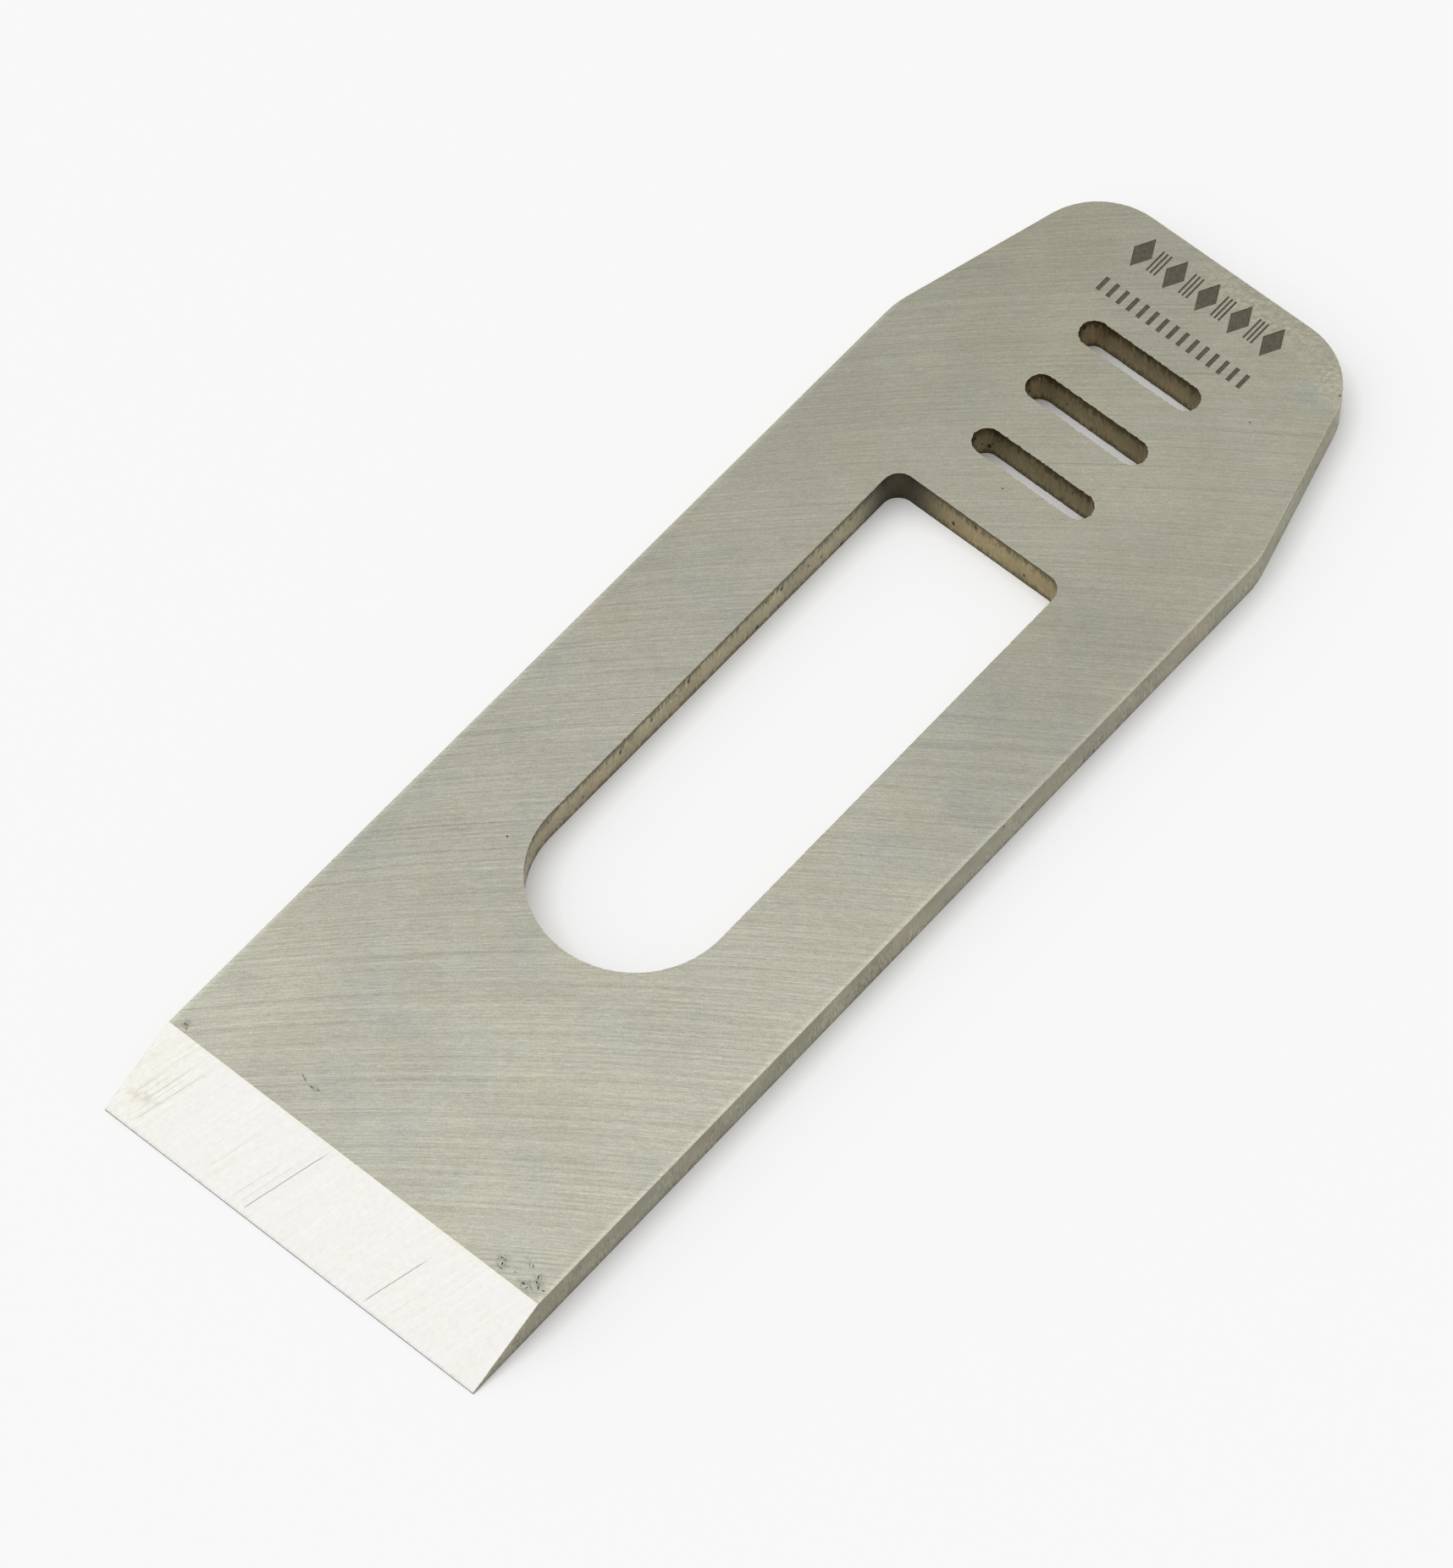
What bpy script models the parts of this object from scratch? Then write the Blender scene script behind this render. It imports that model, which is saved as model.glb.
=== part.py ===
"""Bevel-up block plane blade: one flat piece of hardened tool steel.

Metres. The blade lies on its flat back, so +Z is up out of the bevelled side. +X runs across the
width and +Y from the cutting edge to the tail. The origin is the middle of the back.
"""

from math import asin, cos, radians, sin, tan

import bmesh
import bpy
from mathutils import Matrix, Vector

# Blank
BLADE_WIDTH = 0.034925
BLADE_LENGTH = 0.1068
BLADE_THICKNESS = 0.00344

# Cutting end: the ground bevel leaves a narrow upright land along the edge
BEVEL_ANGLE = radians(25)
EDGE_LAND = 0.00017

# Tail: both sides taper in from a shoulder to a narrower end
TAPER_LENGTH = 0.01856
TAIL_WIDTH = 0.0249
TAIL_CORNER_RADIUS = 0.00632
SHOULDER_RADIUS = 0.0073

# Window for the lever cap screw: round towards the cutting edge, square towards the tail
WINDOW_WIDTH = 0.01608
EDGE_TO_WINDOW = 0.02983
WINDOW_CORNER_RADIUS = 0.00142

# Cross slots that the depth adjuster engages
SLOT_COUNT = 3
SLOT_WIDTH = 0.00235
SLOT_LENGTH = 0.01104
SLOT_PITCH = 0.00629
SLOT_TO_TAIL = 0.00984
WINDOW_TO_SLOT = 0.00491

# Facets and cutters
ARC_STEP = radians(6)
SMOOTH_ANGLE = radians(20)
CUTTER_MARGIN = 0.002
WELD_DISTANCE = 1e-7


def clear_scene():
    for item in list(bpy.data.objects):
        bpy.data.objects.remove(item)


def new_collection(name):
    collection = bpy.data.collections.new(name)
    bpy.context.scene.collection.children.link(collection)
    return collection


def ground_steel():
    """Surface-ground tool steel with the faint warm green cast of its heat treatment."""
    material = bpy.data.materials.new("ground_tool_steel")
    material.use_nodes = True
    shader = material.node_tree.nodes["Principled BSDF"]
    shader.inputs["Base Color"].default_value = (0.43, 0.41, 0.34, 1)
    shader.inputs["Metallic"].default_value = 1
    shader.inputs["Roughness"].default_value = 0.42
    return material


def fillet(before, corner, after, radius):
    """The arc that rounds one corner, from one tangent point to the other."""
    to_before = (before - corner).normalized()
    to_after = (after - corner).normalized()
    half_angle = asin((to_after - to_before).length / 2)
    reach = radius / tan(half_angle)
    centre = corner + (to_before + to_after).normalized() * radius / sin(half_angle)
    start = corner + to_before * reach - centre
    turn = start.angle_signed(corner + to_after * reach - centre)
    steps = max(1, round(abs(turn) / ARC_STEP))
    return [centre + Matrix.Rotation(-turn * i / steps, 2) @ start for i in range(steps + 1)]


def rounded(corners):
    """A closed outline from (x, y, radius) corners, each rounded to its own radius."""
    places = [Vector((x, y)) for x, y, _ in corners]
    outline = []
    for i, (_, _, radius) in enumerate(corners):
        after = places[(i + 1) % len(places)]
        outline += fillet(places[i - 1], places[i], after, radius) if radius else [places[i]]
    # Where two arcs meet, as at a full round end, they share their tangent point.
    return [p for i, p in enumerate(outline) if (p - outline[i - 1]).length > WELD_DISTANCE]


def blank_corners():
    """The blank, square at the cutting end and tapered to rounded corners at the tail."""
    front, tail = -BLADE_LENGTH / 2, BLADE_LENGTH / 2
    side, tail_side = BLADE_WIDTH / 2, TAIL_WIDTH / 2
    shoulder = tail - TAPER_LENGTH
    return [
        (-side, front, 0),
        (side, front, 0),
        (side, shoulder, SHOULDER_RADIUS),
        (tail_side, tail, TAIL_CORNER_RADIUS),
        (-tail_side, tail, TAIL_CORNER_RADIUS),
        (-side, shoulder, SHOULDER_RADIUS),
    ]


def slot_middles():
    """Each slot's middle along Y, from the one nearest the tail."""
    last = BLADE_LENGTH / 2 - SLOT_TO_TAIL - SLOT_WIDTH / 2
    return [last - i * SLOT_PITCH for i in range(SLOT_COUNT)]


def window_corners():
    side = WINDOW_WIDTH / 2
    low = EDGE_TO_WINDOW - BLADE_LENGTH / 2
    high = slot_middles()[-1] - SLOT_WIDTH / 2 - WINDOW_TO_SLOT
    return [
        (-side, low, side),
        (side, low, side),
        (side, high, WINDOW_CORNER_RADIUS),
        (-side, high, WINDOW_CORNER_RADIUS),
    ]


def slot_corners(middle):
    side, half = SLOT_LENGTH / 2, SLOT_WIDTH / 2
    return [
        (-side, middle - half, half),
        (side, middle - half, half),
        (side, middle + half, half),
        (-side, middle + half, half),
    ]


def add_outline(curve, corners):
    points = rounded(corners)
    spline = curve.splines.new("POLY")
    spline.points.add(len(points) - 1)
    for place, point in zip(points, spline.points):
        point.co = (place.x, place.y, 0, 1)
    spline.use_cyclic_u = True


def make_blank(collection):
    """The flat blank with its window and slots, as a closed mesh with its back at Z = 0."""
    curve = bpy.data.curves.new("blade_outline", "CURVE")
    curve.dimensions = "2D"
    curve.fill_mode = "BOTH"
    curve.extrude = BLADE_THICKNESS / 2
    add_outline(curve, blank_corners())
    add_outline(curve, window_corners())
    for middle in slot_middles():
        add_outline(curve, slot_corners(middle))
    outline = bpy.data.objects.new("blade_outline", curve)
    outline.location.z = BLADE_THICKNESS / 2
    collection.objects.link(outline)
    bpy.context.view_layer.update()
    evaluated = outline.evaluated_get(bpy.context.evaluated_depsgraph_get())
    mesh = bpy.data.meshes.new_from_object(evaluated)
    welded = bmesh.new()
    welded.from_mesh(mesh)
    bmesh.ops.remove_doubles(welded, verts=welded.verts, dist=WELD_DISTANCE)
    welded.to_mesh(mesh)
    welded.free()
    mesh.name = "blade"
    blade = bpy.data.objects.new("blade", mesh)
    blade.matrix_world = outline.matrix_world
    collection.objects.link(blade)
    bpy.data.objects.remove(outline)
    return blade


def grind_bevel(blade, collection):
    """Cuts the bevel with a block that lies on the bevel's plane and runs past it all round."""
    rise = BLADE_THICKNESS - EDGE_LAND
    bevel_run = rise / tan(BEVEL_ANGLE)
    bevel_face = rise / sin(BEVEL_ANGLE)
    height = BLADE_THICKNESS + CUTTER_MARGIN
    across = Vector((BLADE_WIDTH, bevel_face, height))
    across.x += 2 * CUTTER_MARGIN
    across.y += 2 * CUTTER_MARGIN
    block = bmesh.new()
    bmesh.ops.create_cube(block, size=1, matrix=Matrix.Diagonal(across).to_4x4())
    mesh = bpy.data.meshes.new("bevel_cutter")
    block.to_mesh(mesh)
    block.free()
    cutter = bpy.data.objects.new("bevel_cutter", mesh)
    outwards = Vector((0, -sin(BEVEL_ANGLE), cos(BEVEL_ANGLE)))
    face_middle = Vector((0, (bevel_run - BLADE_LENGTH) / 2, EDGE_LAND + rise / 2))
    cutter.location = face_middle + outwards * height / 2
    cutter.rotation_euler.x = BEVEL_ANGLE
    cutter.hide_render = True
    cutter.display_type = "WIRE"
    collection.objects.link(cutter)
    cut = blade.modifiers.new("bevel", "BOOLEAN")
    cut.operation = "DIFFERENCE"
    cut.solver = "EXACT"
    cut.object = cutter


clear_scene()
parts = new_collection("block_plane_blade")
cutters = new_collection("cutters")
blade = make_blank(parts)
blade.data.materials.clear()
blade.data.materials.append(ground_steel())
blade.data.shade_smooth()
blade.data.set_sharp_from_angle(angle=SMOOTH_ANGLE)
grind_bevel(blade, cutters)
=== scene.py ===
"""Looks of a bevel-up block plane blade: one flat piece of hardened tool steel on a pale table.

Metres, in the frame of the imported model: the blade lies on its flat back with the bevel up,
+X runs across its width and +Y from the cutting edge to the tail.
"""

from math import ceil, cos, pi, radians, sin

import bmesh
import bpy
from mathutils import Matrix, Quaternion, Vector, noise


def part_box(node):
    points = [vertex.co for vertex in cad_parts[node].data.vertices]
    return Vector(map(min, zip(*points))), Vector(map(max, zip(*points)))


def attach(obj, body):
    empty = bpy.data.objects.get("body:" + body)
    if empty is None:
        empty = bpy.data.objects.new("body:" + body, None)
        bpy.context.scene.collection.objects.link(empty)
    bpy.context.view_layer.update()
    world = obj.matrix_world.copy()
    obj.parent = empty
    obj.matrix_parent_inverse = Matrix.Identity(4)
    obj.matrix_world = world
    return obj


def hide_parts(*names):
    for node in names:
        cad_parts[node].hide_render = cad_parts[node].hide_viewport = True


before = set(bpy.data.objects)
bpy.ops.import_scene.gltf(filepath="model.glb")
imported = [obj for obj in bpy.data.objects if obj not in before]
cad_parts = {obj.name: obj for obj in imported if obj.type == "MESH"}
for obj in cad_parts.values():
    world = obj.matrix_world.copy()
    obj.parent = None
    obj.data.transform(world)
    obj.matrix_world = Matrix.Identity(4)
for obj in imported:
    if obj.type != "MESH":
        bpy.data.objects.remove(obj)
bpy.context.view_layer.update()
scene = bpy.context.scene


# ---- Camera
# A long lens well above the blade, off the right of its cutting edge, and turned a little about its
# own line of sight.
aim = Vector((-0.00124, -0.0038, 0))
azimuth = radians(39.16)
elevation = radians(59.41)
roll = radians(1.29)
stand_off = 0.6754
towards_camera = Vector((
    cos(elevation) * sin(azimuth),
    -cos(elevation) * cos(azimuth),
    sin(elevation),
))
lens = bpy.data.cameras.new("camera")
lens.lens = 212.34
lens.sensor_width = 36
camera = bpy.data.objects.new("camera", lens)
camera.location = aim + towards_camera * stand_off
level = towards_camera.to_track_quat("Z", "Y")
camera.rotation_mode = "QUATERNION"
camera.rotation_quaternion = level @ Quaternion((0, 0, 1), roll)
scene.collection.objects.link(camera)
scene.camera = camera


# ---- Table and light
# A plain white table top under one broad overhead soft box. The box reaches down far to the left of
# the blade and stops short behind it, so soft shadows fall to the right and the tail end is duller.
def node(tree, kind, inputs=None, **settings):
    """A shader node. inputs gives, by socket name or number, a value or another node's output."""
    made = tree.nodes.new("ShaderNode" + kind)
    for name, value in settings.items():
        setattr(made, name, value)
    for key, value in (inputs or {}).items():
        if isinstance(value, bpy.types.NodeSocket):
            tree.links.new(value, made.inputs[key])
        else:
            made.inputs[key].default_value = value
    return made


def maths(tree, operation, *values):
    return node(tree, "Math", dict(enumerate(values)), operation=operation).outputs[0]


def ramp(tree, value, low, high, start=0.0, end=1.0):
    """value eased from start, where it is low, to end, where it is high."""
    inputs = {"Value": value, "From Min": low, "From Max": high, "To Min": start, "To Max": end}
    return node(tree, "MapRange", inputs, interpolation_type="SMOOTHSTEP").outputs["Result"]


def soft_box_light():
    world = bpy.data.worlds.new("soft_box")
    world.use_nodes = True
    tree = world.node_tree
    tree.nodes.clear()
    direction = node(tree, "TexCoord").outputs["Generated"]

    def component(axis):
        return node(
            tree, "VectorMath", {0: direction, 1: axis}, operation="DOT_PRODUCT"
        ).outputs["Value"]

    # Each component is the cosine of the angle from its axis, and the limits are where light fades.
    back = component((-0.72, 0.69, 0))
    left = component((-0.69, -0.72, 0))
    right = component((1, 0, 0))
    room = ramp(tree, right, -0.2, 0.6, 1.15, 0.38)
    room = maths(tree, "MULTIPLY", room, ramp(tree, back, 0.42, 0.64, 1, 0.62))
    depth = maths(tree, "MULTIPLY", ramp(tree, back, 0.45, 0.54, 1, 0), ramp(tree, back, -0.7, -0.4))
    width = maths(tree, "MULTIPLY", ramp(tree, left, 0.7, 0.9, 1, 0), ramp(tree, left, -0.5, -0.2))
    strength = maths(tree, "ADD", room, maths(tree, "MULTIPLY", depth, width))
    light = node(tree, "Background", {"Color": (1, 1, 1, 1), "Strength": strength})
    output = node(tree, "OutputWorld")
    tree.links.new(light.outputs[0], output.inputs["Surface"])
    return world


def table_top():
    table_size = 30
    mesh = bpy.data.meshes.new("table_top")
    sheet = bmesh.new()
    bmesh.ops.create_grid(sheet, x_segments=1, y_segments=1, size=table_size / 2)
    sheet.to_mesh(mesh)
    sheet.free()
    material = bpy.data.materials.new("white_table")
    material.use_nodes = True
    shader = material.node_tree.nodes["Principled BSDF"]
    shader.inputs["Base Color"].default_value = (0.95, 0.95, 0.95, 1)
    shader.inputs["Roughness"].default_value = 0.55
    mesh.materials.append(material)
    table = bpy.data.objects.new("table_top", mesh)
    scene.collection.objects.link(table)
    return table


scene.world = soft_box_light()
table_top()

# A tone curve lets the table go to an even near-white, and leaves the steel's tones as they are.
view = scene.view_settings
view.view_transform = "Standard"
view.use_curve_mapping = True
white_point = 1.1
table_white = 0.938
knee = 0.85
view.curve_mapping.white_level = (white_point, white_point, white_point)
tone = view.curve_mapping.curves[3]
tone.points[1].location = (1, table_white)
tone.points.new(knee / white_point, knee)
for point in tone.points:
    point.handle_type = "VECTOR"
view.curve_mapping.update()


# ---- Blade
# One flat piece of hardened tool steel, cut to outline, with a window for the lever cap screw and
# three cross slots for the depth adjuster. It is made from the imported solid, with the arrises
# stoned off and the rims of the openings left a little ragged by the cutting.
lowest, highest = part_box("blade")
thickness = highest.z
front = lowest.y
tolerance = 1e-5
window_half_width = 0.00804
window_front = front + 0.02983
window_back = front + 0.0771
slot_half_length = 0.00552
slots_front = front + 0.0815
slots_back = front + 0.0975
bevel_angle = radians(25)
edge_land = 0.00017
bevel_run = (thickness - edge_land) / (sin(bevel_angle) / cos(bevel_angle))
heel = front + bevel_run

FINISHES = (
    "ground_face",
    "ground_bevel",
    "cut_side",
    "window_wall",
    "slot_wall",
    "stoned_arris",
    "edge_land",
    "etched_recess",
    "pit",
)


def at(place, height):
    return abs(place.z - height) < tolerance


def opening_of(point):
    """Which opening, if any, a point on a wall belongs to."""
    margin = 0.0003
    if abs(point.x) < slot_half_length + margin and slots_front < point.y < slots_back:
        return "slot_wall"
    inside = abs(point.x) < window_half_width + margin
    if inside and window_front - margin < point.y < window_back + margin:
        return "window_wall"
    return "cut_side"


def solid_outline():
    """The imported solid, merged, with each flat face in as few pieces as it can be."""
    merge_distance = 1e-6
    blank = bmesh.new()
    blank.from_mesh(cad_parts["blade"].data)
    bmesh.ops.remove_doubles(blank, verts=blank.verts, dist=merge_distance)
    bmesh.ops.dissolve_limit(
        blank, angle_limit=radians(1), verts=blank.verts, edges=blank.edges
    )
    return blank


def is_level(edge):
    first, second = edge.verts
    return abs(first.co.z - second.co.z) < tolerance


def is_rim(edge, height):
    flat = [f for f in edge.link_faces if abs(f.normal.z) > 0.99]
    return len(flat) == 1 and all(at(v.co, height) for v in edge.verts)


def split_long_rims(blank, spacing):
    """Divides the long straight walls along their length, so that their rims can be ragged."""
    # The sides slope under the bevel, so the rest of each is first parted from that end.
    sides = [f for f in blank.faces if abs(f.normal.x) > 0.99 and len(f.verts) == 5]
    edges = {e for f in sides for e in f.edges}
    corners = {v for f in sides for v in f.verts}
    past_heel = Vector((0, heel + spacing, 0))
    bmesh.ops.bisect_plane(
        blank, geom=[*sides, *edges, *corners], plane_co=past_heel, plane_no=(0, 1, 0)
    )
    walls = [f for f in blank.faces if abs(f.normal.z) < 0.01 and len(f.verts) == 4]
    pairs = [[e for e in f.edges if is_level(e)] for f in walls]
    for pair in pairs:
        cuts = ceil(pair[0].calc_length() / spacing) - 1
        if len(pair) == 2 and cuts > 0:
            bmesh.ops.subdivide_edges(blank, edges=pair, cuts=cuts, use_grid_fill=True)


def stone_arrises(blank, height, wall, width):
    """A narrow chamfer round the rims of one kind of wall, and along the bevel's sloping sides."""
    rims = [e for e in blank.edges if is_rim(e, height) and opening_of(e.verts[0].co) == wall]
    if height > 0 and wall == "cut_side":
        rims += [
            e
            for e in blank.edges
            if abs(e.verts[0].co.y - e.verts[1].co.y) > bevel_run / 2
            and max(v.co.y for v in e.verts) < heel + tolerance
            and abs(e.verts[0].co.z - e.verts[1].co.z) > thickness / 2
        ]
    rims = [e for e in rims if max(v.co.y for v in e.verts) > front + tolerance]
    rims = [e for e in rims if not all(abs(v.co.y - heel) < tolerance for v in e.verts)]
    made = bmesh.ops.bevel(
        blank,
        geom=rims,
        offset=width,
        offset_type="OFFSET",
        segments=3,
        profile=0.5,
        affect="EDGES",
        clamp_overlap=True,
        material=-1,
    )
    finish = "slot_wall" if wall == "slot_wall" else "stoned_arris"
    for face in made["faces"]:
        face.material_index = FINISHES.index(finish)


def roughen_rims(blank):
    """Moves the rims' points a few hundredths of a millimetre into the steel, unevenly."""
    raggedness = {"slot_wall": 0.00007, "window_wall": 0.00003, "cut_side": 0.00001}
    tooth = 0.00021
    foot_share = 0.4
    blank.normal_update()
    outwards = {v: Vector((v.normal.x, v.normal.y, 0)) for v in blank.verts}
    for vertex, direction in outwards.items():
        if vertex.co.y < heel or direction.length < 0.1:
            continue
        nearest_face = round(vertex.co.z / thickness)
        place = Vector((vertex.co.x, vertex.co.y, nearest_face))
        # Many points stay where they are, and the rest go up to the whole depth.
        bite = min(1, max(0, 2.4 * abs(noise.noise(place * (1 / tooth))) - 0.25))
        share = 1 if vertex.co.z > thickness / 2 else foot_share
        vertex.co -= direction.normalized() * raggedness[opening_of(vertex.co)] * bite * share


def name_faces(blank):
    """Gives each face that isn't an arris the finish of the surface it lies on."""
    blank.normal_update()
    for face in blank.faces:
        middle = face.calc_center_median()
        if face.material_index > 0:
            continue
        if face.normal.y < -0.99 and middle.y < front + tolerance:
            finish = "edge_land"
        elif abs(face.normal.z) < 0.1:
            finish = opening_of(middle)
        elif abs(face.normal.z) < 0.99:
            finish = "ground_bevel"
        else:
            finish = "ground_face"
        face.material_index = FINISHES.index(finish)


blank = solid_outline()
split_long_rims(blank, spacing=0.00018)
for wall, width in (("cut_side", 0.00005), ("window_wall", 0.00003), ("slot_wall", 0.00002)):
    stone_arrises(blank, thickness, wall, width)
    stone_arrises(blank, 0, wall, 0.00002)
roughen_rims(blank)
name_faces(blank)
blade_mesh = bpy.data.meshes.new("plane_blade")
blank.to_mesh(blade_mesh)
blank.free()
blade = bpy.data.objects.new("plane_blade", blade_mesh)
scene.collection.objects.link(blade)


# ---- Etched ornament
# A shallow etched pattern across the tail, behind the slots: a row of lozenges with upright bars
# between them over a row of short bars. It is a plain decoration and says nothing.
etch_floor = thickness - 0.00004
etch_top = thickness + 0.0004


def etched_place(x, y, width, length):
    """Where a unit shape has to go to cut one mark of the pattern."""
    middle = Vector((x, y, (etch_floor + etch_top) / 2))
    size = Matrix.Diagonal((width, length, etch_top - etch_floor)).to_4x4()
    return Matrix.Translation(middle) @ size


def bar_cutter(mesh, x, y, width, length):
    bmesh.ops.create_cube(mesh, size=1, matrix=etched_place(x, y, width, length))


def lozenge_cutter(mesh, x, y, width, length):
    place = etched_place(x, y, width / 2, length / 2)
    bmesh.ops.create_cone(
        mesh, cap_ends=True, segments=4, radius1=1, radius2=1, depth=1, matrix=place
    )


ornament = bmesh.new()
upper_row = front + 0.10385
lower_row = front + 0.0997
lozenge = {"width": 0.0017, "length": 0.0032}
upright_bar = {"width": 0.00016, "length": 0.0022}
short_bar = {"width": 0.00036, "length": 0.0014}
lozenge_pitch = 0.0031
upright_bar_pitch = 0.00036
short_bar_pitch = 0.00096
short_bars = 15
for i in range(-2, 3):
    lozenge_cutter(ornament, i * lozenge_pitch, upper_row, **lozenge)
for i in range(-2, 2):
    between = (i + 0.5) * lozenge_pitch
    for step in (-1, 0, 1):
        bar_cutter(ornament, between + step * upright_bar_pitch, upper_row, **upright_bar)
for i in range(short_bars):
    x = (i - (short_bars - 1) / 2) * short_bar_pitch
    bar_cutter(ornament, x, lower_row, **short_bar)
for face in ornament.faces:
    face.material_index = FINISHES.index("etched_recess")


# ---- Knocks and pits
# Small dents from handling: a cluster by the right end of the bevel's heel, a few at its left end,
# one broken, hooked scratch behind the heel, and single pits elsewhere. Each is a real hollow.
def pit_cutter(mesh, x, y, long, wide, turn, seed):
    """A lumpy flattened ball that dips a few hundredths of a millimetre into the top face."""
    depth = 0.00005
    lumpiness = 0.35
    size = Matrix.Diagonal((long, wide, depth)).to_4x4()
    middle = Matrix.Translation((x, y, thickness)) @ Matrix.Rotation(turn, 4, "Z")
    ball = bmesh.ops.create_icosphere(mesh, subdivisions=2, radius=1)
    for vertex in ball["verts"]:
        lump = noise.noise(vertex.co * 1.7 + Vector((seed * 3.1, 0, 0)))
        vertex.co *= 1 + lumpiness * lump
    bmesh.ops.transform(mesh, matrix=middle @ size, verts=ball["verts"])


# Each is x, y, length and width in millimetres, y from the cutting edge, and its turn in degrees.
mm = 0.001
right_heel_knocks = (
    (13.10, 8.16, 0.16, 0.05, 10), (13.42, 7.82, 0.14, 0.06, -60), (13.60, 7.50, 0.08, 0.05, 0),
    (15.60, 7.58, 0.17, 0.07, 15), (15.98, 7.50, 0.10, 0.04, 70), (16.05, 8.66, 0.16, 0.05, -70),
    (16.25, 8.25, 0.10, 0.05, -40), (16.62, 7.98, 0.15, 0.06, -50), (15.20, 9.10, 0.14, 0.04, -30),
    (14.55, 7.90, 0.07, 0.04, 0), (17.05, 8.05, 0.12, 0.05, 20),
)
left_heel_knocks = ((-16.45, 7.66, 0.12, 0.04, -55), (-16.10, 7.42, 0.10, 0.04, -20))
single_pits = (
    (-9.13, 34.33, 0.10, 0.07, 0), (-0.87, 80.72, 0.09, 0.06, 0), (13.01, 103.44, 0.12, 0.06, 0),
    (14.20, 102.02, 0.16, 0.10, 50), (9.40, 97.20, 0.08, 0.06, 0),
)
hooked_scratch = (
    (-7.24, 9.97, 0.12, 0.03, -15), (-6.90, 9.82, 0.09, 0.03, -40), (-6.14, 9.66, 0.18, 0.03, 0),
    (-5.62, 9.76, 0.12, 0.03, 35),
)
knocks = right_heel_knocks + left_heel_knocks + hooked_scratch + single_pits
pits = bmesh.new()
for i, (x, y, long, wide, turn) in enumerate(knocks):
    pit_cutter(pits, x * mm, front + y * mm, long * mm, wide * mm, radians(turn), i)
bmesh.ops.recalc_face_normals(pits, faces=pits.faces)
for face in pits.faces:
    face.material_index = FINISHES.index("pit")


def cut_away(target, shapes, name):
    """Takes the shapes, whose faces carry their own finish, out of the target."""
    mesh = bpy.data.meshes.new(name)
    shapes.normal_update()
    shapes.to_mesh(mesh)
    shapes.free()
    cutter = bpy.data.objects.new(name, mesh)
    scene.collection.objects.link(cutter)
    for _ in FINISHES:
        mesh.materials.append(None)
    cut = target.modifiers.new(name, "BOOLEAN")
    cut.object = cutter
    cut.operation = "DIFFERENCE"
    cut.solver = "EXACT"
    cut.material_mode = "INDEX"
    bpy.context.view_layer.update()
    evaluated = target.evaluated_get(bpy.context.evaluated_depsgraph_get())
    result = bpy.data.meshes.new_from_object(evaluated)
    target.modifiers.clear()
    target.data = result
    bpy.data.objects.remove(cutter)


for _ in FINISHES:
    blade.data.materials.append(None)
cut_away(blade, ornament, "ornament_cutter")
cut_away(blade, pits, "pit_cutter")


# ---- Finishes
# The faces are surface-ground on a rotary grinder, the bevel freshly ground across, and the sides
# and the walls of the openings keep a thin brown oxide from hardening.
def group(name, inputs, outputs):
    """An empty node group with named float or vector sockets: what it is given and puts out."""
    tree = bpy.data.node_groups.new(name, "ShaderNodeTree")
    for socket, kind in inputs.items():
        tree.interface.new_socket(socket, in_out="INPUT", socket_type="NodeSocket" + kind)
    for socket, kind in outputs.items():
        tree.interface.new_socket(socket, in_out="OUTPUT", socket_type="NodeSocket" + kind)
    given = tree.nodes.new("NodeGroupInput").outputs
    out = tree.nodes.new("NodeGroupOutput").inputs
    return tree, given, out


def point(tree, x, y, z):
    return node(tree, "CombineXYZ", {0: x, 1: y, 2: z}).outputs[0]


def cloud(tree, place, scale=1.0, detail=2.0, roughness=0.55):
    """Soft noise, from 0 to 1 and mostly near a half."""
    inputs = {"Vector": place, "Scale": scale, "Detail": detail, "Roughness": roughness}
    return node(tree, "TexNoise", inputs).outputs[0]


def grinding_marks():
    """Fine parallel grinding lines, long and short ones together, and a few longer scratches."""
    tree, given, out = group(
        "grinding_marks",
        {"Along": "Float", "Across": "Float", "Length": "Float", "Width": "Float"},
        {"Lines": "Float", "Scratches": "Float"},
    )
    along = maths(tree, "DIVIDE", given["Along"], given["Length"])
    across = maths(tree, "DIVIDE", given["Across"], given["Width"])

    def streaks(longer, wider, layer, detail):
        place = point(
            tree, maths(tree, "DIVIDE", along, longer), maths(tree, "DIVIDE", across, wider), layer
        )
        return cloud(tree, place, 1.0, detail, 0.62)

    long_lines = maths(tree, "MULTIPLY", streaks(1.0, 1.0, 0.5, 5.0), 0.42)
    short_lines = maths(tree, "MULTIPLY", streaks(0.05, 0.8, 7.3, 4.0), 0.33)
    grain = maths(tree, "MULTIPLY", streaks(0.012, 0.7, 15.1, 2.0), 0.25)
    both = maths(tree, "ADD", long_lines, short_lines)
    tree.links.new(maths(tree, "ADD", both, grain), out["Lines"])
    rare = streaks(2.0, 1.1, 31.7, 1.0)
    tree.links.new(ramp(tree, rare, 0.68, 0.80), out["Scratches"])
    return tree


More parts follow.
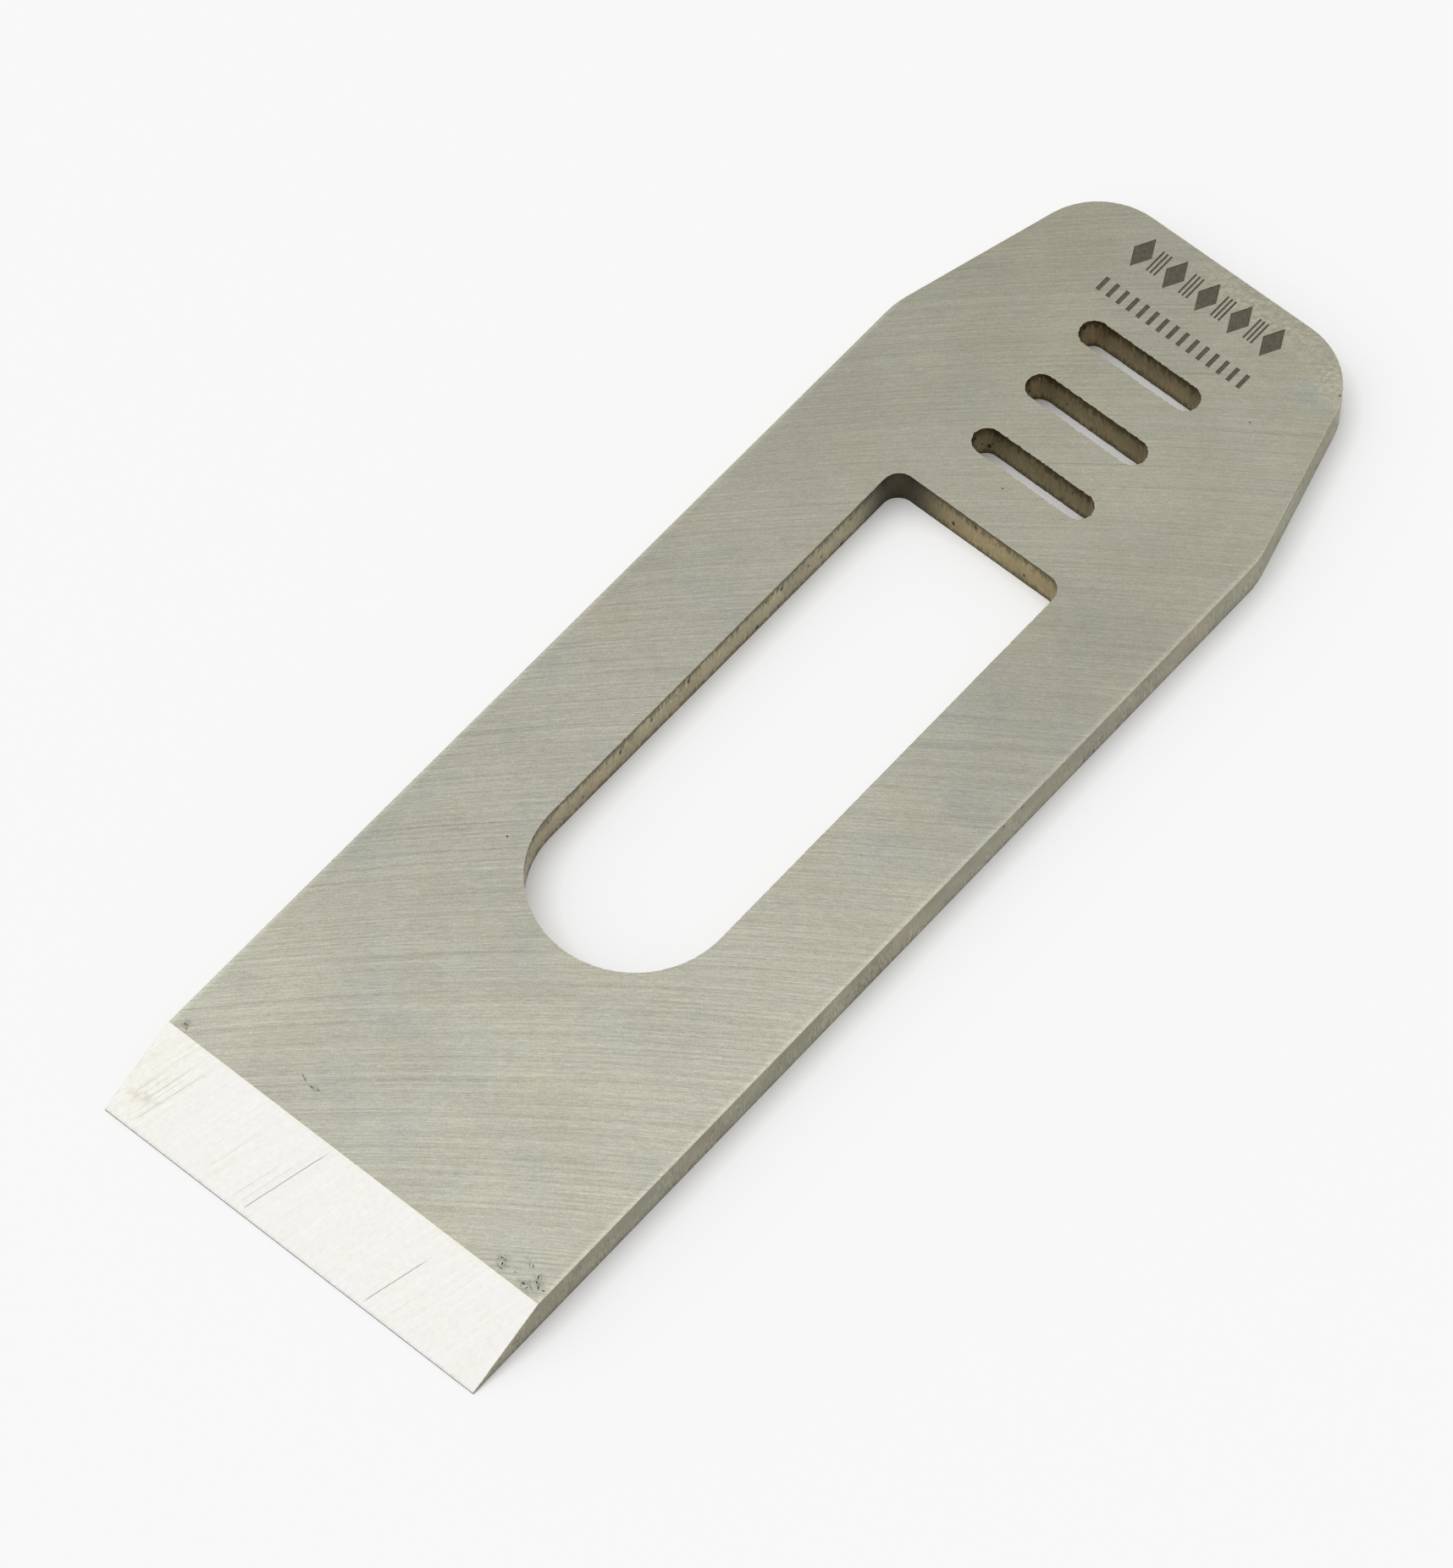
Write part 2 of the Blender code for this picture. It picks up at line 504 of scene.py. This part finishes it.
def oxide_film():
    """Low clouds of warm, green and blue-grey film a few millimetres across."""
    tree, given, out = group(
        "oxide_film",
        {"Position": "Vector", "Size": "Float"},
        {"Warm": "Float", "Cool": "Float", "Tone": "Float"},
    )
    scale = maths(tree, "DIVIDE", 1.0, given["Size"])
    for i, (name, low, high) in enumerate((
        ("Warm", 0.42, 0.72), ("Cool", 0.45, 0.75), ("Tone", 0.25, 0.75),
    )):
        shifted = node(
            tree, "VectorMath", {0: given["Position"], 1: (0.37 * i, 0.19 * i, 0)}, operation="ADD"
        ).outputs[0]
        tree.links.new(ramp(tree, cloud(tree, shifted, scale, 3.0), low, high), out[name])
    return tree


def pepper():
    """Small specks, one in some of the cells of a loose grid."""
    tree, given, out = group(
        "pepper",
        {"Position": "Vector", "Spacing": "Float", "Share": "Float"},
        {"Specks": "Float"},
    )
    scale = maths(tree, "DIVIDE", 1.0, given["Spacing"])
    cells = node(tree, "TexVoronoi", {"Vector": given["Position"], "Scale": scale})
    chance = node(tree, "SeparateColor", {0: cells.outputs["Color"]}).outputs
    chosen = maths(tree, "LESS_THAN", chance[0], given["Share"])
    radius = maths(tree, "MULTIPLY_ADD", chance[1], 0.20, 0.10)
    inner = maths(tree, "MULTIPLY", radius, 0.5)
    speck = ramp(tree, cells.outputs["Distance"], inner, radius, 1, 0)
    tree.links.new(maths(tree, "MULTIPLY", chosen, speck), out["Specks"])
    return tree


def rim_bands():
    """Where a cut wall is darkened, with ragged borders: down from its top rim, up from its foot."""
    tree, given, out = group(
        "rim_bands",
        {"Position": "Vector", "Top Band": "Float", "Foot Band": "Float"},
        {"Top": "Float", "Foot": "Float"},
    )
    tooth = 0.00022
    tooth_height = 0.0012
    stretched = node(
        tree, "VectorMath",
        {0: given["Position"], 1: (1 / tooth, 1 / tooth, 1 / tooth_height)}, operation="MULTIPLY",
    ).outputs[0]
    teeth = ramp(tree, cloud(tree, stretched, detail=3.0), 0.3, 0.7, 0.4, 1.6)
    height = node(tree, "SeparateXYZ", {0: given["Position"]}).outputs["Z"]
    from_top = maths(tree, "SUBTRACT", thickness, height)
    for name, reach in (("Top", from_top), ("Foot", height)):
        width = maths(tree, "MULTIPLY", given[name + " Band"], teeth)
        share = maths(tree, "DIVIDE", reach, width)
        tree.links.new(ramp(tree, share, 0.2, 1.7, 1, 0), out[name])
    return tree


marks = grinding_marks()
film = oxide_film()
specks = pepper()
bands = rim_bands()


def new_material(name, roughness):
    material = bpy.data.materials.new(name)
    material.use_nodes = True
    tree = material.node_tree
    shader = tree.nodes["Principled BSDF"]
    shader.inputs["Metallic"].default_value = 1
    shader.inputs["Roughness"].default_value = roughness
    position = node(tree, "TexCoord").outputs["Object"]
    return material, tree, shader, position


def placed(tree, shared, inputs):
    """A shared node group placed in a material, with its own values."""
    made = tree.nodes.new("ShaderNodeGroup")
    made.node_tree = shared
    for key, value in inputs.items():
        if isinstance(value, bpy.types.NodeSocket):
            tree.links.new(value, made.inputs[key])
        else:
            made.inputs[key].default_value = value
    return made.outputs


def mixed(tree, factor, first, second):
    """Two colours mixed by a factor."""
    made = node(tree, "Mix", {0: factor, 6: first, 7: second}, data_type="RGBA")
    return made.outputs[2]


def scaled(tree, colour, value):
    """A colour made lighter or darker by a value."""
    if not isinstance(colour, bpy.types.NodeSocket):
        colour = colour[:3]
    return node(tree, "VectorMath", {0: colour, "Scale": value}, operation="SCALE").outputs[0]


def tinted(tree, colour, factor, tint):
    """A colour multiplied by a tint, as far as a factor says."""
    partly = mixed(tree, factor, (1, 1, 1, 1), (*tint, 1))
    return node(tree, "VectorMath", {0: colour, 1: partly}, operation="MULTIPLY").outputs[0]


def bump(tree, shader, height, distance):
    lift = node(tree, "Bump", {"Strength": 1.0, "Distance": distance, "Height": height})
    tree.links.new(lift.outputs[0], shader.inputs["Normal"])


def patch(tree, position, x, y, long, wide, turn=0.0):
    """A soft-edged oval: 1 at (x, y), in millimetres from the cutting edge, and 0 past its rim."""
    inputs = {
        "Vector": position,
        "Location": (x * mm, front + y * mm, 0),
        "Rotation": (0, 0, radians(turn)),
        "Scale": (long * mm, wide * mm, 1),
    }
    inside = node(tree, "Mapping", inputs, vector_type="TEXTURE").outputs[0]
    reach = node(tree, "VectorMath", {0: inside}, operation="LENGTH").outputs["Value"]
    return ramp(tree, reach, 0.25, 1.0, 1, 0)


def largest(tree, values):
    most = values[0]
    for value in values[1:]:
        most = maths(tree, "MAXIMUM", most, value)
    return most


def rubbed_marks(tree, position):
    """Broken grey rubs round the knocks at the heel, and the hooked scratch behind it."""
    rubs = largest(tree, [
        patch(tree, position, 13.35, 7.95, 1.00, 0.70, -50),
        patch(tree, position, 15.75, 7.60, 1.05, 0.70, 0),
        patch(tree, position, 16.25, 8.40, 1.00, 0.70, -60),
        patch(tree, position, 14.90, 9.05, 0.80, 0.30, -25),
        patch(tree, position, -16.30, 7.60, 0.70, 0.50, -60),
        patch(tree, position, -7.00, 9.88, 0.50, 0.16, -22),
        patch(tree, position, -5.95, 9.74, 0.62, 0.28, 5),
    ])
    broken = ramp(tree, cloud(tree, position, 3600.0, 3.0, 0.6), 0.47, 0.63)
    smear = ramp(tree, cloud(tree, position, 1500.0, 2.0), 0.38, 0.70, 0.05, 0.55)
    return maths(tree, "MULTIPLY", rubs, maths(tree, "MAXIMUM", broken, smear))


def ground_face():
    """The two broad faces: curved lines from a rotary grinder under a thin mottled film."""
    material, tree, shader, position = new_material("ground_face", 0.3)
    place = node(tree, "SeparateXYZ", {0: position}).outputs
    wheel_radius = 0.202
    wheel_x = 0.131
    line_length = 0.016
    line_width = 0.00019
    line_depth = 0.0000025
    film_size = 0.006
    dimple_height = 4.5
    from_wheel = maths(tree, "SUBTRACT", place["X"], wheel_x)
    squared = maths(tree, "MULTIPLY", from_wheel, from_wheel)
    sweep = maths(tree, "SQRT", maths(tree, "SUBTRACT", wheel_radius**2, squared))
    across = maths(tree, "SUBTRACT", place["Y"], sweep)
    along = maths(tree, "MULTIPLY", place["X"], 1.3)
    lines = placed(
        tree, marks,
        {"Along": along, "Across": across, "Length": line_length, "Width": line_width},
    )
    clouds = placed(tree, film, {"Position": position, "Size": film_size})
    steel = (0.304, 0.298, 0.245, 1)
    warm = (0.318, 0.298, 0.236, 1)
    cool = (0.282, 0.292, 0.256, 1)
    yellow = (0.308, 0.296, 0.222, 1)
    tan = (0.342, 0.318, 0.240, 1)
    blue = (0.272, 0.290, 0.262, 1)
    dark_grey = (0.12, 0.12, 0.10, 1)
    colour = mixed(tree, maths(tree, "MULTIPLY", clouds["Warm"], 0.6), steel, warm)
    colour = mixed(tree, maths(tree, "MULTIPLY", clouds["Cool"], 0.6), colour, cool)
    towards_tail = ramp(tree, place["Y"], front + 0.055, front + 0.095, 0, 0.45)
    colour = mixed(tree, towards_tail, colour, yellow)
    bluish = maths(tree, "MULTIPLY", patch(tree, position, 11.1, 102.2, 1.7, 2.0), 0.55)
    colour = mixed(tree, bluish, colour, blue)
    on_top = ramp(tree, place["Z"], thickness / 2, thickness)
    dimpled = largest(tree, [
        patch(tree, position, 4.0, 105.6, 9.0, 2.2),
        patch(tree, position, 11.6, 104.4, 3.4, 2.2, -45),
    ])
    dimpled = maths(tree, "MULTIPLY", dimpled, on_top)
    dimples = cloud(tree, position, 2400.0, 2.0, 0.5)
    blotches = ramp(tree, cloud(tree, position, 1400.0, 3.0), 0.40, 0.62, 0.1, 0.6)
    colour = mixed(tree, maths(tree, "MULTIPLY", dimpled, blotches), colour, tan)
    frost = maths(tree, "MULTIPLY", maths(tree, "SUBTRACT", dimples, 0.5), dimpled)
    colour = scaled(tree, colour, maths(tree, "MULTIPLY_ADD", frost, 0.55, 1.0))
    colour = scaled(tree, colour, ramp(tree, clouds["Tone"], 0, 1, 0.97, 1.03))
    duller = patch(tree, position, 14.0, 71.0, 13.0, 25.0)
    colour = scaled(tree, colour, maths(tree, "MULTIPLY_ADD", duller, -0.12, 1.0))
    brighter = patch(tree, position, -16.0, 12.0, 11.0, 10.0)
    colour = scaled(tree, colour, maths(tree, "MULTIPLY_ADD", brighter, 0.08, 1.0))
    grit = maths(tree, "SUBTRACT", cloud(tree, position, 6500.0, 3.0, 0.7), 0.5)
    colour = scaled(tree, colour, maths(tree, "MULTIPLY_ADD", grit, 0.42, 1.0))
    contrast = ramp(tree, place["Y"], front + 0.030, front + 0.090, 1.9, 1.15)
    smooth_patch = maths(tree, "MULTIPLY_ADD", dimpled, -0.6, 1.0)
    contrast = maths(tree, "MULTIPLY", contrast, smooth_patch)
    centred = maths(tree, "SUBTRACT", lines["Lines"], 0.5)
    colour = scaled(tree, colour, maths(tree, "MULTIPLY_ADD", centred, contrast, 1.0))
    colour = scaled(tree, colour, maths(tree, "MULTIPLY_ADD", lines["Scratches"], -0.20, 1.0))
    rubbed = maths(tree, "MULTIPLY", rubbed_marks(tree, position), on_top)
    colour = mixed(tree, maths(tree, "MULTIPLY", rubbed, 0.85), colour, dark_grey)
    from_middle = maths(tree, "ABSOLUTE", place["X"])
    edge = ramp(tree, from_middle, highest.x - 0.0005, highest.x - 0.00006, 1.0, 1.22)
    colour = scaled(tree, colour, edge)
    tree.links.new(colour, shader.inputs["Base Color"])
    rough = maths(tree, "MULTIPLY_ADD", lines["Lines"], 0.10, 0.16)
    tree.links.new(rough, shader.inputs["Roughness"])
    raised = maths(tree, "MULTIPLY", dimples, dimpled)
    relief = maths(tree, "MULTIPLY_ADD", raised, dimple_height, lines["Lines"])
    bump(tree, shader, relief, line_depth)
    return material


def ground_bevel():
    """The bevel: bright, freshly ground steel with fine lines that lean to the right."""
    material, tree, shader, position = new_material("ground_bevel", 0.34)
    place = node(tree, "SeparateXYZ", {0: position}).outputs
    lean = radians(68)
    line_length = 0.008
    line_width = 0.00016
    line_depth = 0.0000012
    film_size = 0.004
    up_slope = maths(tree, "DIVIDE", maths(tree, "SUBTRACT", place["Y"], front), cos(bevel_angle))

    def turned(x_share, slope_share):
        return maths(
            tree, "ADD",
            maths(tree, "MULTIPLY", place["X"], x_share),
            maths(tree, "MULTIPLY", up_slope, slope_share),
        )

    across = turned(sin(lean), -cos(lean))
    along = turned(cos(lean), sin(lean))
    lines = placed(
        tree, marks,
        {"Along": along, "Across": across, "Length": line_length, "Width": line_width},
    )
    clouds = placed(tree, film, {"Position": position, "Size": film_size})
    bright = (0.507, 0.490, 0.445, 1)
    cream = (0.500, 0.476, 0.400, 1)
    grey = (0.225, 0.230, 0.232, 1)
    left_end = ramp(tree, place["X"], -0.0105, -0.0160)
    heel_line = ramp(tree, place["Y"], heel - 0.00035, heel - 0.0001, 0, 0.8)
    creamy = maths(tree, "MAXIMUM", maths(tree, "MULTIPLY", left_end, 0.6), heel_line)
    creamy = maths(tree, "MAXIMUM", creamy, maths(tree, "MULTIPLY", clouds["Warm"], 0.55))
    colour = mixed(tree, creamy, bright, cream)
    contrast = ramp(tree, left_end, 0, 1, 0.95, 1.5)
    centred = maths(tree, "SUBTRACT", lines["Lines"], 0.5)
    colour = scaled(tree, colour, maths(tree, "MULTIPLY_ADD", centred, contrast, 1.0))
    mottle = maths(tree, "SUBTRACT", cloud(tree, position, 2400.0, 2.0), 0.5)
    colour = scaled(tree, colour, maths(tree, "MULTIPLY_ADD", mottle, 0.30, 1.0))

    def scratch(x, start, end, width, strength):
        """One thin scratch along the lean, from where it starts up the slope to where it ends."""
        at_x = maths(tree, "SUBTRACT", across, x * sin(lean))
        wander = maths(tree, "SUBTRACT", cloud(tree, place["Y"], 900.0, 2.0), 0.5)
        offset = maths(tree, "ABSOLUTE", maths(tree, "MULTIPLY_ADD", wander, width, at_x))
        thin = ramp(tree, offset, width * 0.2, width, strength, 0)
        begun = ramp(tree, up_slope, start, start + 0.0006)
        ended = ramp(tree, up_slope, end - 0.0018, end, 1, 0)
        return maths(tree, "MULTIPLY", thin, maths(tree, "MULTIPLY", begun, ended))

    dark = largest(tree, [
        scratch(-0.0047, 0.0002, 0.0080, 0.00008, 0.95),
        scratch(0.0067, 0.0002, 0.0063, 0.00008, 0.95),
        scratch(-0.0053, 0.0004, 0.0062, 0.00007, 0.45),
        scratch(-0.0060, 0.0004, 0.0050, 0.00007, 0.45),
        scratch(-0.0090, 0.0010, 0.0045, 0.00007, 0.35),
        scratch(0.0087, 0.0005, 0.0035, 0.00007, 0.30),
        scratch(-0.0154, 0.0006, 0.0072, 0.00008, 0.55),
        scratch(-0.0159, 0.0008, 0.0060, 0.00007, 0.45),
        scratch(-0.0163, 0.0018, 0.0070, 0.00008, 0.55),
        scratch(-0.0168, 0.0012, 0.0058, 0.00007, 0.40),
        scratch(-0.0173, 0.0020, 0.0055, 0.00008, 0.50),
        maths(tree, "MULTIPLY", lines["Scratches"], 0.4),
    ])
    rub = patch(tree, position, -15.6, 2.15, 2.0, 0.55, 12)
    rub = maths(tree, "MULTIPLY", rub, ramp(tree, lines["Lines"], 0.40, 0.60, 0.5, 0.15))
    colour = mixed(tree, maths(tree, "MAXIMUM", dark, rub), colour, grey)
    near_edge = ramp(tree, place["Y"], front + 0.00005, front + 0.00025, 1, 0)
    colour = tinted(tree, colour, near_edge, (0.83, 0.84, 0.93))
    tree.links.new(colour, shader.inputs["Base Color"])
    bump(tree, shader, lines["Lines"], line_depth)
    return material


def wall_finish(name, body, top_band, foot_band, tick_depth, mottling, speck_share):
    """A cut wall with film, nearly upright cutting ticks and dark specks, darker along both rims.

    Each band is given by its width and by its tint at the rim. The colour is returned unlinked, so
    that each wall can add what is its own.
    """
    material, tree, shader, position = new_material(name, 0.44)
    shader.inputs["Specular Tint"].default_value = (0.965, 0.948, 0.89, 1)
    place = node(tree, "SeparateXYZ", {0: position}).outputs
    lean = maths(tree, "MULTIPLY", place["Z"], 0.08)
    tick_width = 0.00016
    tick_length = 0.0010
    tick_relief = 0.00001
    film_size = 0.0035
    speck_spacing = 0.0007
    stretched = point(
        tree,
        maths(tree, "DIVIDE", maths(tree, "ADD", place["X"], lean), tick_width),
        maths(tree, "DIVIDE", maths(tree, "ADD", place["Y"], lean), tick_width),
        maths(tree, "DIVIDE", place["Z"], tick_length),
    )
    ticks = cloud(tree, stretched, 1.0, 4.0, 0.65)
    clouds = placed(tree, film, {"Position": position, "Size": film_size})
    colour = tinted(tree, body, clouds["Warm"], (1.04, 0.97, 0.97))
    colour = tinted(tree, colour, clouds["Cool"], (0.96, 1.01, 1.00))
    colour = scaled(tree, colour, ramp(tree, clouds["Tone"], 0, 1, 0.90, 1.10))
    mottle = cloud(tree, position, 2600.0, 3.0, 0.6)
    mottle = maths(tree, "SUBTRACT", mottle, 0.5)
    colour = scaled(tree, colour, maths(tree, "MULTIPLY_ADD", mottle, mottling, 1.0))
    patchy = ramp(tree, cloud(tree, position, 320.0, 2.0), 0.4, 0.6, 0.3, 1)
    lower = ramp(tree, place["Z"], thickness * 0.6, thickness, 1, 0.5)
    depth = maths(tree, "MULTIPLY", maths(tree, "MULTIPLY", patchy, lower), tick_depth)
    centred = maths(tree, "SUBTRACT", ticks, 0.5)
    colour = scaled(tree, colour, maths(tree, "MULTIPLY_ADD", centred, depth, 1.0))
    darker = placed(
        tree, bands, {"Position": position, "Top Band": top_band[0], "Foot Band": foot_band[0]}
    )
    colour = tinted(tree, colour, darker["Top"], top_band[1])
    colour = tinted(tree, colour, darker["Foot"], foot_band[1])
    tall = node(tree, "VectorMath", {0: position, 1: (1, 1, 0.5)}, operation="MULTIPLY").outputs[0]
    dots = placed(
        tree, specks, {"Position": tall, "Spacing": speck_spacing, "Share": speck_share}
    )
    colour = mixed(tree, dots["Specks"], colour, (0.03, 0.024, 0.015, 1))
    bump(tree, shader, ticks, tick_relief)
    return material, tree, shader, place, colour


def cut_side():
    """The two long sides, the taper and the tail end: sawn and lightly ground, olive grey."""
    material, tree, shader, place, colour = wall_finish(
        name="cut_side",
        body=(0.365, 0.352, 0.282),
        top_band=(0.00030, (0.93, 0.93, 0.90)),
        foot_band=(0.00030, (0.70, 0.70, 0.70)),
        tick_depth=2.3,
        mottling=0.30,
        speck_share=0.04,
    )
    lightness = 1.12
    colour = scaled(tree, colour, ramp(tree, place["Y"], front + 0.005, front + 0.06, 0.90, 1.05))
    colour = scaled(tree, colour, lightness)
    # Partly painted shading, partly tone: the side is darker and yellower towards its top rim, which
    # evens out the shaded table it reflects near its foot; the greyer foot is its own tone.
    colour = tinted(tree, colour, ramp(tree, place["Z"], 0, thickness), (0.74, 0.74, 0.69))
    tree.links.new(colour, shader.inputs["Base Color"])
    return material


def window_wall():
    """The window's wall: tan oxide with dark pits, and painted shade that blackens it where the
    tail's left corner turns.
    """
    material, tree, shader, place, colour = wall_finish(
        name="window_wall",
        body=(0.396, 0.358, 0.246),
        top_band=(0.00070, (0.30, 0.30, 0.26)),
        foot_band=(0.00042, (0.38, 0.38, 0.36)),
        tick_depth=1.2,
        mottling=0.7,
        speck_share=0.6,
    )
    square_end = ramp(tree, place["Y"], window_back - 0.0016, window_back - 0.0002)
    colour = tinted(tree, colour, square_end, (0.70, 0.64, 0.52))
    position = node(tree, "TexCoord").outputs["Object"]
    # Painted shade: the wall is blackened round the window's far left corner, where shade falls in
    # the turn.
    painted_corner_shade = patch(tree, position, -8.04, 77.1, 5.9, 5.4)
    colour = mixed(tree, maths(tree, "MULTIPLY", painted_corner_shade, 0.9), colour, (0.04, 0.033, 0.020, 1))
    tree.links.new(colour, shader.inputs["Base Color"])
    return material


def slot_wall():
    """The slots' walls: brown oxide, darker and ragged along both rims."""
    material, tree, shader, _, colour = wall_finish(
        name="slot_wall",
        body=(0.275, 0.228, 0.126),
        top_band=(0.00075, (0.32, 0.29, 0.18)),
        foot_band=(0.00050, (0.34, 0.34, 0.32)),
        tick_depth=1.2,
        mottling=0.6,
        speck_share=0.35,
    )
    tree.links.new(colour, shader.inputs["Base Color"])
    return material


def stoned_arris():
    """The narrow chamfers, where the stone took the film off and the steel is brighter."""
    material, tree, shader, position = new_material("stoned_arris", 0.4)
    wear = ramp(tree, cloud(tree, position, 3500.0, 3.0, 0.6), 0.35, 0.65)
    colour = mixed(tree, wear, (0.46, 0.44, 0.35, 1), (0.64, 0.62, 0.51, 1))
    tree.links.new(colour, shader.inputs["Base Color"])
    return material


def edge_land_finish():
    """The narrow upright land along the cutting edge."""
    material, tree, shader, position = new_material("edge_land", 0.4)
    wear = cloud(tree, position, 1500.0, 2.0, 0.5)
    colour = mixed(tree, wear, (0.10, 0.095, 0.08, 1), (0.30, 0.29, 0.25, 1))
    tree.links.new(colour, shader.inputs["Base Color"])
    return material


def etched_recess():
    """Etched steel: dull dark grey-green with fine hatching."""
    material, tree, shader, position = new_material("etched_recess", 0.6)
    place = node(tree, "SeparateXYZ", {0: position}).outputs
    slope = maths(tree, "ADD", place["X"], place["Y"])
    hatch_pitch = 0.00022
    hatch = maths(tree, "SINE", maths(tree, "MULTIPLY", slope, 2 * pi / hatch_pitch))
    colour = scaled(tree, (0.105, 0.098, 0.074, 1), maths(tree, "MULTIPLY_ADD", hatch, 0.22, 1.0))
    grain = cloud(tree, position, 4000.0, 2.0, 0.5)
    grain_depth = 0.000006
    colour = scaled(tree, colour, maths(tree, "MULTIPLY_ADD", grain, 0.8, 0.6))
    tree.links.new(colour, shader.inputs["Base Color"])
    bump(tree, shader, grain, grain_depth)
    return material


def pit_finish():
    """Dark oxide in the bottom of the knocks."""
    material, tree, shader, position = new_material("pit", 0.6)
    grain = cloud(tree, position, 6000.0, 2.0, 0.5)
    colour = mixed(tree, grain, (0.05, 0.05, 0.04, 1), (0.14, 0.135, 0.11, 1))
    tree.links.new(colour, shader.inputs["Base Color"])
    return material


# In the order of FINISHES.
finishes = (
    ground_face(),
    ground_bevel(),
    cut_side(),
    window_wall(),
    slot_wall(),
    stoned_arris(),
    edge_land_finish(),
    etched_recess(),
    pit_finish(),
)
for i, material in enumerate(finishes):
    blade.data.materials[i] = material
sharp_angle = radians(14)
blade.data.shade_smooth()
blade.data.set_sharp_from_angle(angle=sharp_angle)
flat_finishes = ("ground_face", "ground_bevel", "edge_land", "etched_recess")
flat = [FINISHES.index(name) for name in flat_finishes]
for face in blade.data.polygons:
    face.use_smooth = face.material_index not in flat
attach(blade, "root")
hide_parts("blade")
